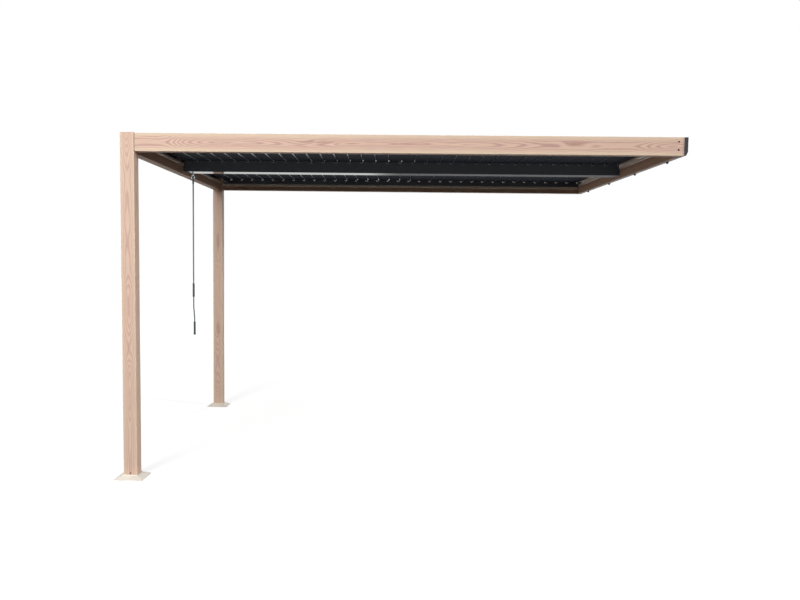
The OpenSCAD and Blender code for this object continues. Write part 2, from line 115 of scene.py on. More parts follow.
class Field:
    """One shader output, so that maths on it reads as Python maths."""

    def __init__(self, finish, socket):
        self.finish = finish
        self.socket = socket

    def _math(self, operation, *values):
        sockets = dict(enumerate(values))
        return self.finish.node("ShaderNodeMath", sockets, operation=operation)

    def __add__(self, other):
        return self._math("ADD", self, other)

    def __radd__(self, other):
        return self._math("ADD", other, self)

    def __sub__(self, other):
        return self._math("SUBTRACT", self, other)

    def __rsub__(self, other):
        return self._math("SUBTRACT", other, self)

    def __mul__(self, other):
        return self._math("MULTIPLY", self, other)

    def __pow__(self, other):
        return self._math("POWER", self, other)

    def __abs__(self):
        return self._math("ABSOLUTE", self)

    def sine(self):
        return self._math("SINE", self)

    def root(self):
        return self._math("SQRT", self)

    def wrapped(self, low, high):
        return self._math("WRAP", self, high, low)

    def step(self, low, high):
        """0 at low, 1 at high, and smooth between them."""
        sockets = {"Value": self, "From Min": low, "From Max": high}
        return self.finish.node("ShaderNodeMapRange", sockets, interpolation_type="SMOOTHSTEP")


class Finish:
    """A node material whose surface is one Principled shader."""

    def __init__(self, name):
        self.material = bpy.data.materials.new(name)
        self.material.use_nodes = True
        self.tree = self.material.node_tree
        self.tree.nodes.clear()
        self.surface = self.tree.nodes.new("ShaderNodeBsdfPrincipled")
        output = self.tree.nodes.new("ShaderNodeOutputMaterial")
        self.tree.links.new(self.surface.outputs["BSDF"], output.inputs["Surface"])

    def node(self, kind, sockets=None, output=0, **settings):
        """Adds a node: its settings first, then its sockets' values or links."""
        made = self.tree.nodes.new(kind)
        for name, value in settings.items():
            setattr(made, name, value)
        for key, value in (sockets or {}).items():
            self.feed(made.inputs[key], value)
        return Field(self, made.outputs[output])

    def feed(self, socket, value):
        if isinstance(value, Field):
            self.tree.links.new(value.socket, socket)
        else:
            socket.default_value = value

    def set(self, **inputs):
        """Sets the surface's inputs, with underscores for the spaces in their names."""
        for name, value in inputs.items():
            self.feed(self.surface.inputs[name.replace("_", " ")], value)
        return self

    def place(self):
        """The object coordinates as three numbers, and as a vector."""
        vector = self.node("ShaderNodeTexCoord", output="Object")
        axes = [self.node("ShaderNodeSeparateXYZ", {0: vector}, output=i) for i in range(3)]
        return axes, vector

    def vector(self, x, y, z):
        return self.node("ShaderNodeCombineXYZ", {0: x, 1: y, 2: z})

    def noise(self, vector, scale, detail=2.0, rough=0.5):
        sockets = {"Vector": vector, "Scale": scale, "Detail": detail, "Roughness": rough}
        return self.node("ShaderNodeTexNoise", sockets)

    def blend(self, factor, first, second, mode="MIX"):
        """Mix of two colours; 6 and 7 are the Mix node's colour inputs and 2 its colour output."""
        sockets = {0: factor, 6: first, 7: second}
        return self.node("ShaderNodeMix", sockets, 2, data_type="RGBA", blend_type=mode)

    def bump(self, height, strength, distance):
        sockets = {"Height": height, "Strength": strength, "Distance": distance}
        return self.set(Normal=self.node("ShaderNodeBump", sockets))


# ---------------------------------------------------------------- finishes

def wood_foil(name, along, across, seed, look, inner=None, depth=1.0):
    """Printed wood-grain foil. along gives the grain's direction and across the distance
    round the profile from the middle of its show face, both from the place of a point.
    inner gives two fields: 1 on a beam's inner wall, which gets painted shade, and 1 on that
    wall's glossy hem, which gets a painted highlight.
    depth is the strength of the print."""
    lines_per_metre, heart_width = 118.0, 0.062
    finish = Finish(name).set(Specular_IOR_Level=0.08)
    axes, _ = finish.place()
    run = along(axes)
    side = across(finish, axes)
    wander = finish.noise(finish.vector(run * 0.9, side * 2.0, seed), 1.0, 2.0)
    side = side + (wander - 0.5) * 0.03
    heart = finish.noise(finish.vector(run * 1.15, 0.0, seed + 4.7), 1.0, 1.5)
    heart = heart.step(0.38, 0.72) * heart_width
    rings = (side * side + heart * heart).root()
    ripple = finish.noise(finish.vector(run * 5.0, side * 38.0, seed), 1.0, 3.0)
    knot_cells = finish.node(
        "ShaderNodeTexVoronoi",
        {"Vector": finish.vector(run * 2.3, side * 9.0, seed), "Scale": 1.0, "Randomness": 0.9},
        voronoi_dimensions="3D")
    in_band = 1.0 - abs(side).step(0.012, 0.045)
    knots = (1.0 - knot_cells.step(0.05, 0.42)) * in_band
    phase = rings * lines_per_metre + ripple * 0.9 + knots * 1.6
    lines = ((phase * math.tau).sine() * 0.5 + 0.5) ** 2.2
    streaks = finish.noise(finish.vector(run * 7.0, side * 420.0, seed), 1.0, 3.0, 0.6)
    patches = finish.noise(finish.vector(run * 2.1, side * 9.0, seed + 9.1), 1.0, 2.0)
    band = 1.0 - abs(side).step(0.020, 0.062)
    pink = (band * 0.75 + patches * 0.5 - 0.22).step(0.0, 1.0)
    ground = finish.blend(pink * depth, look.wood_light, look.wood_pink)
    grained = finish.blend(lines * (band * 0.62 + 0.16) * depth, ground, look.wood_line)
    knotted = finish.blend(knots.step(0.45, 1.0) * 0.5, grained, look.wood_knot)
    shade = streaks.step(0.3, 0.75) * 0.16 + 0.90
    tone = finish.vector(shade, shade, shade)
    colour = finish.blend(1.0, knotted, tone, "MULTIPLY")
    if inner is not None:
        # Painted shade darkens the inner walls, and a painted highlight lightens their hems.
        painted_shade_inside, hem_highlight = inner(axes)
        colour = finish.blend(painted_shade_inside, colour, look.wood_inner_shade, "MULTIPLY")
        colour = finish.blend(hem_highlight, colour, look.wood_hem_highlight)
        finish.set(Coat_Weight=hem_highlight, Coat_Roughness=0.2)
    finish.set(Base_Color=colour, Roughness=0.44 + streaks * 0.16)
    return finish.bump(lines * 0.5 + streaks, 0.25, 0.0003).material


def powder_coat(name, colour, rough, peel=0.18, shine=0.5):
    """Textured paint: a little orange peel, faint clouding and dust in the gloss."""
    finish = Finish(name).set(Specular_IOR_Level=shine)
    _, vector = finish.place()
    cloud = finish.noise(vector, 3.0, 3.0)
    grit = finish.noise(vector, 900.0, 2.0)
    darker = darkened(colour, 0.78)
    finish.set(
        Base_Color=finish.blend(cloud.step(0.3, 0.7), darker, colour),
        Roughness=rough + (cloud - 0.5) * 0.12 + (grit - 0.5) * 0.06,
    )
    return finish.bump(grit, peel, GRIT_BUMP).material


def rubbed_coat(name, colour, start, end, level):
    """Paint rubbed glossy below a level, as far along X as start, and matt beyond end."""
    finish = Finish(name)
    (x, _, z), vector = finish.place()
    grit = finish.noise(vector, 900.0, 2.0)
    along = (x + finish.noise(vector, 1.5, 1.0) * 0.1).step(start, end)
    matt = 1.0 - (1.0 - along) * (1.0 - z.step(level, level + 0.003))
    darker = darkened(colour, 0.78)
    finish.set(
        Base_Color=finish.blend(finish.noise(vector, 3.0, 3.0).step(0.3, 0.7), darker, colour),
        Roughness=0.12 + matt * 0.5 + (grit - 0.5) * 0.04,
    )
    return finish.bump(grit, 0.08, GRIT_BUMP).material


def drawn_metal(name, colour, rough, along):
    """Bare or brushed metal with fine lines along one axis."""
    finish = Finish(name)
    axes, vector = finish.place()
    stretch = [0.04 if axis == along else 1.0 for axis in range(3)]
    drawn = finish.vector(*[axes[i] * stretch[i] for i in range(3)])
    lines = finish.noise(drawn, 700.0, 3.0, 0.6)
    cloud = finish.noise(vector, 9.0, 2.0)
    darker = darkened(colour, 0.8)
    finish.set(
        Base_Color=finish.blend(lines.step(0.35, 0.7), darker, colour),
        Metallic=1.0,
        Roughness=rough + (lines - 0.5) * 0.15 + (cloud - 0.5) * 0.1,
    )
    return finish.bump(lines, 0.15, GRIT_BUMP).material


def moulded_plastic(name, colour, rough, glow=0.0):
    """Fine-grained moulded plastic. glow is painted light: emission in the plastic's colour that
    stands in for light falling on it.
    """
    finish = Finish(name).set(Emission_Color=colour, Emission_Strength=glow)
    _, vector = finish.place()
    grain = finish.noise(vector, 1400.0, 2.0)
    cloud = finish.noise(vector, 14.0, 2.0)
    darker = darkened(colour, 0.85)
    finish.set(
        Base_Color=finish.blend(cloud, darker, colour),
        Roughness=rough + (grain - 0.5) * 0.15,
    )
    return finish.bump(grain, 0.25, GRIT_BUMP).material


def seal_rubber(name, colour, glow):
    """Pale rubber that glows with painted light, most at the front end of each bay and on the
    posts' side of the roof.
    """
    finish = Finish(name).set(Emission_Strength=glow)
    (x, y, _), vector = finish.place()
    post_side, wall_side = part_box(LOUVRES[0])[0][0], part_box(LOUVRES[-1])[1][0]
    bay = -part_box("front_louvre_rail")[0][1]
    # Masks of the painted glow: strongest at the front end of each bay and on the posts' side,
    # fading towards the wall.
    painted_glow_along_bay = 1.0 - y.wrapped(-bay, 0.0).step(-0.95 * bay, -0.2 * bay)
    painted_glow_across_roof = (
        x.step(post_side - 0.3, post_side + 1.0)
        * (1.0 - x.step(post_side * 0.5, wall_side)))
    cloud = finish.noise(vector, 5.0, 2.0)
    darker = darkened(colour, 0.7)
    return finish.set(
        Base_Color=finish.blend(cloud.step(0.35, 0.65), darker, colour),
        Emission_Color=finish.blend(painted_glow_along_bay * painted_glow_across_roof, BLACK, colour),
        Roughness=0.5 + cloud * 0.1,
    ).material


def beam_across(node, outward):
    """Distance round a beam's section from the middle of its outer face.
    outward is the axis that the outer face looks along, and its sign."""
    axis, sign = outward
    low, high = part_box(node)
    face = high[axis] if sign > 0 else low[axis]
    middle = (low[2] + high[2]) / 2

    def across(finish, axes):
        return axes[2] - middle - abs(axes[axis] - face)
    return across


def beam_wall_shade_and_hem_highlight(node, outward, top):
    """Fields that are 1 on the inner wall of a beam, where shade is painted, and 1 on the hem
    along it, where a highlight is painted.
    top is the hem's upper edge above the beam's underside."""
    axis, sign = outward
    low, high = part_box(node)
    face = high[axis] if sign > 0 else low[axis]
    foot = low[2] + top - HEM_HEIGHT

    def inner(axes):
        painted_shade_inside = abs(axes[axis] - face).step(0.018, 0.022)
        return painted_shade_inside, painted_shade_inside * axes[2].step(foot - 0.001, foot + 0.001)
    return inner


def post_across(node):
    """Distance round a post from the middle of whichever face a point is on."""
    low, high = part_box(node)
    half = (high[0] - low[0]) / 2
    offset = half - (low[0] + high[0]) / 2 - (low[1] + high[1]) / 2

    def across(finish, axes):
        return (axes[0] + axes[1] + offset).wrapped(-half, half)
    return across


# ---------------------------------------------------------------- fittings

class Layout:
    """A Geometry Nodes tree with named inputs, which sets one shape along a row."""

    def __init__(self, name, inputs):
        self.tree = bpy.data.node_groups.new(name, "GeometryNodeTree")
        face = self.tree.interface
        self.ids = {}
        row = {
            "Count": ("NodeSocketInt", 2),
            "Start": ("NodeSocketVector", (0, 0, 0)),
            "Step": ("NodeSocketVector", (0.1, 0, 0)),
        }
        for label, (kind, default) in {**row, **inputs}.items():
            socket = face.new_socket(label, in_out="INPUT", socket_type=kind)
            socket.default_value = default
            self.ids[label] = socket.identifier
        face.new_socket("Geometry", in_out="OUTPUT", socket_type="NodeSocketGeometry")
        self.start = self.tree.nodes.new("NodeGroupInput")
        self.end = self.tree.nodes.new("NodeGroupOutput")

    def input(self, label):
        return self.start.outputs[label]

    def node(self, kind, sockets=None, output=0, **settings):
        """Adds a node: its settings first, then its sockets' values or links."""
        made = self.tree.nodes.new(kind)
        for name, value in settings.items():
            setattr(made, name, value)
        for key, value in (sockets or {}).items():
            if isinstance(value, bpy.types.NodeSocket):
                self.tree.links.new(value, made.inputs[key])
            else:
                made.inputs[key].default_value = value
        return made.outputs[output]

    def repeat(self, shape, material):
        """Sets the shape on every place of the row, as real geometry in its material."""
        row = self.node("GeometryNodeMeshLine", {
            "Count": self.input("Count"),
            "Start Location": self.input("Start"),
            "Offset": self.input("Step")})
        placed = self.node("GeometryNodeInstanceOnPoints", {"Points": row, "Instance": shape})
        real = self.node("GeometryNodeRealizeInstances", {"Geometry": placed})
        painted = self.node("GeometryNodeSetMaterial", {"Geometry": real, "Material": material})
        self.tree.links.new(painted, self.end.inputs[0])


def grow(name, layout, body, slot, **values):
    """Runs a layout with these input values and keeps the result as a plain piece."""
    seed_mesh = bpy.data.meshes.new(name + "_seed")
    maker = bpy.data.objects.new(name + "_maker", seed_mesh)
    bpy.context.collection.objects.link(maker)
    modifier = maker.modifiers.new("layout", "NODES")
    modifier.node_group = layout.tree
    for label, value in values.items():
        modifier[layout.ids[label.replace("_", " ")]] = value
    graph = bpy.context.evaluated_depsgraph_get()
    mesh = bpy.data.meshes.new_from_object(maker.evaluated_get(graph))
    mesh.name = name
    bpy.data.objects.remove(maker)
    if not mesh.polygons:
        raise RuntimeError("the layout of " + name + " gives no faces")
    piece = bpy.data.objects.new(name, mesh)
    bpy.context.collection.objects.link(piece)
    for polygon in mesh.polygons:
        polygon.use_smooth = False
    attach(piece, body)
    return piece


def ring_row_layout(material, name):
    """A row of rounded rings, threaded on axes that run along Y."""
    layout = Layout(name, {
        "Radius": ("NodeSocketFloat", 0.006),
        "Round": ("NodeSocketFloat", 0.002),
        "Turn": ("NodeSocketVector", (math.pi / 2, 0, 0)),
        "Scale": ("NodeSocketVector", (1, 1, 1)),
    })
    path = layout.node("GeometryNodeCurvePrimitiveCircle", {
        "Resolution": 24, "Radius": layout.input("Radius")})
    section = layout.node("GeometryNodeCurvePrimitiveCircle", {
        "Resolution": 10, "Radius": layout.input("Round")})
    ring = layout.node("GeometryNodeCurveToMesh", {"Curve": path, "Profile Curve": section})
    turned = layout.node("GeometryNodeTransform", {
        "Geometry": ring, "Rotation": layout.input("Turn"), "Scale": layout.input("Scale")})
    layout.repeat(turned, material)
    return layout


def strip_row_layout(material, name):
    """A row of plain strips."""
    layout = Layout(name, {"Size": ("NodeSocketVector", (0.001, 1.3, 0.008))})
    strip = layout.node("GeometryNodeMeshCube", {"Size": layout.input("Size")})
    layout.repeat(strip, material)
    return layout


def screw_row_layout(material):
    """A row of domed screw heads that stand out along one direction."""
    crown_share = 0.62
    layout = Layout("screw_row", {
        "Radius": ("NodeSocketFloat", 0.005),
        "Height": ("NodeSocketFloat", 0.0025),
        "Turn": ("NodeSocketVector", (math.pi / 2, 0, 0)),
    })
    crown_r = layout.node(
        "ShaderNodeMath", {0: layout.input("Radius"), 1: crown_share}, operation="MULTIPLY")
    head = layout.node("GeometryNodeMeshCone", {
        "Vertices": 24, "Radius Top": crown_r,
        "Radius Bottom": layout.input("Radius"), "Depth": layout.input("Height")})
    turned = layout.node("GeometryNodeTransform", {
        "Geometry": head, "Rotation": layout.input("Turn")})
    layout.repeat(turned, material)
    return layout


# ---------------------------------------------------------------- settings

class PergolaLook(bpy.types.PropertyGroup):
    """Colours of the pergola's finishes."""

    wood_light: bpy.props.FloatVectorProperty(
        name="Pale wood", description="Foil colour along the edges of a face",
        subtype="COLOR", size=4, min=0, max=1, default=linear(229, 204, 179))
    wood_pink: bpy.props.FloatVectorProperty(
        name="Heart wood", description="Foil colour along the middle of a face",
        subtype="COLOR", size=4, min=0, max=1, default=linear(221, 187, 169))
    wood_line: bpy.props.FloatVectorProperty(
        name="Grain lines", description="Colour of the printed growth rings",
        subtype="COLOR", size=4, min=0, max=1, default=linear(187, 148, 139))
    wood_knot: bpy.props.FloatVectorProperty(
        name="Knots", description="Colour of the printed knots",
        subtype="COLOR", size=4, min=0, max=1, default=linear(176, 138, 124))
    # Painted shade: a darker, redder tint that stands in for the shade on the beams' inner walls.
    wood_inner_shade: bpy.props.FloatVectorProperty(
        name="Inner walls", description="Tint over the foil on the beams' inner walls",
        subtype="COLOR", size=4, min=0, max=1, default=(0.88, 0.72, 0.66, 1.0))
    # Painted highlight: the hems' paler colour stands in for the light that catches them.
    wood_hem_highlight: bpy.props.FloatVectorProperty(
        name="Hems", description="Foil colour on the hems of the beams' inner walls",
        subtype="COLOR", size=4, min=0, max=1, default=linear(250, 228, 208))
    dark_coat: bpy.props.FloatVectorProperty(
        name="Dark coat", description="Powder coat of the louvres, centre beam and ledger",
        subtype="COLOR", size=4, min=0, max=1, default=linear(34, 37, 44))
    # Painted shade: the centre-beam bushes are the same bushes in a greyer colour, standing in for
    # the shade they sit in.
    bush_grey: bpy.props.FloatVectorProperty(
        name="Inner bushes", description="Colour of the pivot bushes on the centre beam",
        subtype="COLOR", size=4, min=0, max=1, default=linear(168, 156, 148))
    bush_pale: bpy.props.FloatVectorProperty(
        name="Outer bushes", description="Colour of the pivot bushes on the rails",
        subtype="COLOR", size=4, min=0, max=1, default=linear(232, 214, 208))
    # Painted light: emission that stands in for light on the bushes.
    bush_painted_glow: bpy.props.FloatProperty(
        name="Bush glow", description="Daylight that comes through the pivot bushes",
        min=0, max=4, default=0.8)
    seal_rubber: bpy.props.FloatVectorProperty(
        name="Seam seals", description="Colour of the seals along the louvres' troughs",
        subtype="COLOR", size=4, min=0, max=1, default=linear(226, 236, 226))
    # Painted light: emission strength of the seam seals, standing in for light falling on them.
    seal_painted_glow: bpy.props.FloatProperty(
        name="Seal glow", description="Daylight that comes through the seam seals",
        min=0, max=4, default=2.6)
    cover_coat: bpy.props.FloatVectorProperty(
        name="Base covers", description="Coat of the flared base covers",
        subtype="COLOR", size=4, min=0, max=1, default=linear(255, 247, 234))


class PergolaFittings(bpy.types.PropertyGroup):
    """Sizes of the small fittings."""

    bush_radius: bpy.props.FloatProperty(
        name="Bush radius", description="Outer radius of the pivot bushes' flanges",
        unit="LENGTH", min=0.006, max=0.012, default=0.010)
    bush_thickness: bpy.props.FloatProperty(
        name="Bush thickness", description="Thickness of those flanges",
        unit="LENGTH", min=0.001, max=0.0045, default=0.004)
    seal_thickness: bpy.props.FloatProperty(
        name="Seal thickness", description="Thickness of the seals along the drip troughs",
        unit="LENGTH", min=0.0002, max=0.0005, default=0.0004)
    seal_drop: bpy.props.FloatProperty(
        name="Seal drop", description="How far the seals hang below the louvres",
        unit="LENGTH", min=0.0, max=0.01, default=0.006)
    screw_radius: bpy.props.FloatProperty(
        name="Screw radius", description="Radius of the screw heads in the beams",
        unit="LENGTH", min=0.003, max=0.009, default=0.006)


class PergolaStudio(bpy.types.PropertyGroup):
    """Stage, lamps and camera."""

    focal_length: bpy.props.FloatProperty(
        name="Focal length", description="Camera's focal length in millimetres, on a 36 mm sensor",
        min=15, max=120, default=34.82)
    key_power: bpy.props.FloatProperty(
        name="Key lamp", description="Power of the large lamp, in front and to the left",
        subtype="POWER", min=0, max=20000, default=685)
    left_power: bpy.props.FloatProperty(
        name="Left lamp", description="Power of the low lamp on the posts' side",
        subtype="POWER", min=0, max=5000, default=170)
    right_power: bpy.props.FloatProperty(
        name="Right lamp", description="Power of the lamp on the wall's side",
        subtype="POWER", min=0, max=5000, default=1100)
    rear_power: bpy.props.FloatProperty(
        name="Rear lamp", description="Power of the weak lamp behind",
        subtype="POWER", min=0, max=5000, default=330)
    sky_strength: bpy.props.FloatProperty(
        name="Room light", description="Strength of the even light from all round",
        min=0, max=2, default=0.22)


# ---------------------------------------------------------------- operators

def paint(material, *nodes):
    """Gives a finish to CAD nodes."""
    for node in nodes:
        slots = frame["nodes"][node].material_slots
        if not slots:
            raise RuntimeError(node + " has no material slot")
        for slot in slots:
            slot.material = material


class PERGOLA_OT_foil_frame(bpy.types.Operator):
    """Wrap the posts and gutter beams in wood-grain foil"""

    bl_idname = "pergola.foil_frame"
    bl_label = "Foil the posts and beams"

    def execute(self, context):
        look = context.scene.pergola_look
        low_hem, high_hem = 0.068, 0.098
        # Each beam's grain axis, outward axis and sign, and the top of its hem
        beams = {
            "front_beam": (0, (1, -1), low_hem),
            "back_beam": (0, (1, 1), low_hem),
            "post_side_beam": (1, (0, -1), high_hem),
            "wall_side_beam": (1, (0, 1), high_hem),
        }
        for seed, (node, (axis, outward, hem_top)) in enumerate(beams.items()):
            foil = wood_foil(
                "foil_" + node, lambda axes, axis=axis: axes[axis],
                beam_across(node, outward), seed * 3.1, look, beam_wall_shade_and_hem_highlight(node, outward, hem_top))
            paint(foil, node)
        post_seed, cap_seed, post_depth = 17.0, 27.0, 0.7
        for seed, node in enumerate(("near_post", "far_post")):
            foil = wood_foil(
                "foil_" + node, lambda axes: axes[2], post_across(node),
                post_seed + seed * 3.1, look, depth=post_depth)
            paint(foil, node)
        caps = wood_foil(
            "foil_post_caps", lambda axes: axes[1], post_across("near_post"), cap_seed, look)
        paint(caps, "post_caps")
        return {"FINISHED"}


class PERGOLA_OT_coat_metal(bpy.types.Operator):
    """Coat the louvres, centre beam, rails, ledger, feet and drive"""

    bl_idname = "pergola.coat_metal"
    bl_label = "Coat the metal parts"

    def execute(self, context):
        look = context.scene.pergola_look
        dark = tuple(look.dark_coat)
        paint(powder_coat("ledger_coat", dark, 0.42), "wall_ledger", "ledger_end_caps")
        paint(
            powder_coat("beam_coat", dark, 0.30, 0.1),
            "mid_beam_shoes", "front_louvre_rail", "back_louvre_rail", "gutter_cover")
        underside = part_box("mid_beam")[0][2] + 0.002
        rubbed_to, matt_from = -2.3, -1.9
        paint(rubbed_coat("mid_beam_coat", dark, rubbed_to, matt_from, underside), "mid_beam")
        paint(powder_coat("louvre_coat", dark, 0.7, shine=0.03), *LOUVRES, "closing_blade")
        paint(powder_coat("cover_coat", tuple(look.cover_coat), 0.45), "base_covers")
        paint(powder_coat("plate_coat", linear(120, 120, 118), 0.6), "base_plates")
        paint(powder_coat("gearbox_coat", linear(44, 45, 50), 0.5, 0.5), "crank_gearbox")
        paint(drawn_metal("bolt_steel", linear(52, 50, 52), 0.5, 2), "ledger_bolts")
        paint(drawn_metal("drive_bar_metal", linear(190, 192, 194), 0.38, 0), "drive_bar")
        paint(drawn_metal("eye_steel", linear(206, 216, 218), 0.25, 2), "crank_eye")
        paint(powder_coat("rod_coat", linear(92, 112, 112), 0.35), "crank_rod")
        paint(moulded_plastic("grip_plastic", linear(40, 50, 52), 0.5), "crank_grips")
        return {"FINISHED"}


class PERGOLA_OT_pivot_bushes(bpy.types.Operator):
    """Seat a pale bush on every louvre pin, against the rails and the centre beam"""

    bl_idname = "pergola.pivot_bushes"
    bl_label = "Seat the pivot bushes"

    def execute(self, context):
        look = context.scene.pergola_look
        sizes = context.scene.pergola_fittings
        # Painted light: the rail bushes glow fully, and the centre-beam bushes are a painted-shade
        # copy, greyer and with 0.3 of the glow.
        inner = moulded_plastic("bush_grey", tuple(look.bush_grey), 0.4, look.bush_painted_glow * 0.3)
        outer = moulded_plastic("bush_pale", tuple(look.bush_pale), 0.4, look.bush_painted_glow)
        layouts = {
            "mid": ring_row_layout(inner, "grey_rings"),
            "rail": ring_row_layout(outer, "pale_rings"),
        }
        first = louvre_axis(LOUVRES[0])
        step = louvre_axis(LOUVRES[1]) - first
        closing_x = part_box("closing_blade")[1][0] - TROUGH_REACH
        runs = {"": (first.x, len(LOUVRES)), "_closing": (closing_x, 1)}
        pin_r = 0.0045
        mid_low, mid_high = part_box("mid_beam")
        half = sizes.bush_thickness / 2
        across = sizes.bush_radius - pin_r
        rows = {
            "rail_front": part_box("front_louvre_rail")[1][1] + half,
            "mid_front": mid_low[1] - half,
            "mid_back": mid_high[1] + half,
            "rail_back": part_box("back_louvre_rail")[0][1] - half,
        }
        for row, y in rows.items():
            for run, (x, count) in runs.items():
                grow(
                    "bushes_" + row + run, layouts[row.split("_")[0]], STATIC, "bare_aluminium",
                    Count=count, Start=(x, y, first.z), Step=tuple(step),
                    Radius=(pin_r + sizes.bush_radius) / 2, Round=across / 2,
                    Scale=(1, 1, sizes.bush_thickness / across))
        return {"FINISHED"}


class PERGOLA_OT_seam_seals(bpy.types.Operator):
    """Stick a pale seal along the outer face of every louvre's drip trough"""

    bl_idname = "pergola.seam_seals"
    bl_label = "Stick the seam seals"

    def execute(self, context):
        sizes = context.scene.pergola_fittings
        look = context.scene.pergola_look
        # Painted light: the pale seals glow as if lit.
        pale = seal_rubber("seal_rubber", tuple(look.seal_rubber), look.seal_painted_glow)
        # Painted shade: a dark strip on each seal's back, so the seal looks unlit from the side
        # turned away from its painted glow.
        dark = moulded_plastic("seal_back", tuple(look.dark_coat), 0.6)
        faces = strip_row_layout(pale, "seal_faces")
        shaded_backs = strip_row_layout(dark, "seal_backs")
        underside, trough_h, end_gap = 0.003, 0.008, 0.0085
        drop, thickness = sizes.seal_drop, sizes.seal_thickness
        blade_y0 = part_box("front_louvre_rail")[1][1] + end_gap
        blade_y1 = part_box("mid_beam")[0][1] - end_gap
        middle = (blade_y0 + blade_y1) / 2
        for node in LOUVRES:
            axis = louvre_axis(node)
            edge = axis.x + TROUGH_REACH
            low = axis.z + underside - drop
            step, length = (0, -2 * middle, 0), blade_y1 - blade_y0
            grow(
                "seal_faces_" + node, faces, node, "louvre_coat", Count=2, Step=step,
                Start=(edge + thickness / 2, middle, low + (drop + trough_h) / 2),
                Size=(thickness, length, drop + trough_h))
            grow(
                "seal_backs_" + node, shaded_backs, node, "louvre_coat", Count=2, Step=step,
                Start=(edge - thickness / 2, middle, low + drop / 2),
                Size=(thickness, length, drop))
        return {"FINISHED"}


class PERGOLA_OT_joint_shade_strips(bpy.types.Operator):
    """Put a dark strip of painted shade into each corner between a post and a beam, where the
    gap's shadow falls
    """

    bl_idname = "pergola.joint_gaskets"
    bl_label = "Press in the joint gaskets"

    def execute(self, context):
        # Painted shade: the dark strips stand in for the shadow in the gap at each joint.
        shade_coat = moulded_plastic("gasket_rubber", linear(50, 38, 34), 0.6)
        layout = strip_row_layout(shade_coat, "gaskets")
        width, proud = 0.0035, 0.0015
        low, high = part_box("front_beam")
        side_low, side_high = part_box("post_side_beam")
        height, middle = high[2] - low[2], (high[2] + low[2]) / 2
        face_y = low[1] - proud / 2
        grow(
            "gaskets_cross", layout, STATIC, "grip_plastic", Count=2,
            Start=(low[0] + width / 2, face_y, middle), Step=(0, -2 * face_y, 0),
            Size=(width, proud, height))
        grow(
            "gaskets_side", layout, STATIC, "grip_plastic", Count=2,
            Start=(side_low[0] - proud / 2, side_low[1] + width / 2, middle),
            Step=(0, side_high[1] - side_low[1] - width, 0),
            Size=(proud, width, height))
        return {"FINISHED"}


class PERGOLA_OT_frame_screws(bpy.types.Operator):
    """Put the dark screws into the beam ends and the foot of the posts"""

    bl_idname = "pergola.frame_screws"
    bl_label = "Drive the frame screws"

    def execute(self, context):
        sizes = context.scene.pergola_fittings
        steel = drawn_metal("screw_steel", linear(48, 40, 38), 0.5, 2)
        layout = screw_row_layout(steel)
        head_h, foot_rise, small = 0.0025, 0.042, 0.8
        beam_low, beam_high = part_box("front_beam")
        end_inset, upper_drop, pair_step = 0.038, 0.032, 0.055
        post_low, post_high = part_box("near_post")
        post_x = (post_low[0] + post_high[0]) / 2
        foot_z = CAD_BOX[0][2] + foot_rise
        faces = {
            "front": (-1, beam_low[1], post_low[1]),
            "back": (1, -beam_low[1], -post_low[1]),
        }
        for side, (sign, beam_y, post_y) in faces.items():
            turn = (-sign * math.pi / 2, 0, 0)
            proud = sign * head_h / 2
            grow(
                "screws_beam_" + side, layout, STATIC, "bolt_steel", Count=2,
                Start=(beam_high[0] - end_inset, beam_y + proud, beam_high[2] - upper_drop),
                Step=(0, 0, -pair_step), Radius=sizes.screw_radius, Height=head_h, Turn=turn)
            grow(
                "screw_foot_" + side, layout, STATIC, "bolt_steel", Count=1,
                Start=(post_x, post_y + proud, foot_z), Step=(0, 0, 0),
                Radius=sizes.screw_radius * small, Height=head_h, Turn=turn)
        return {"FINISHED"}


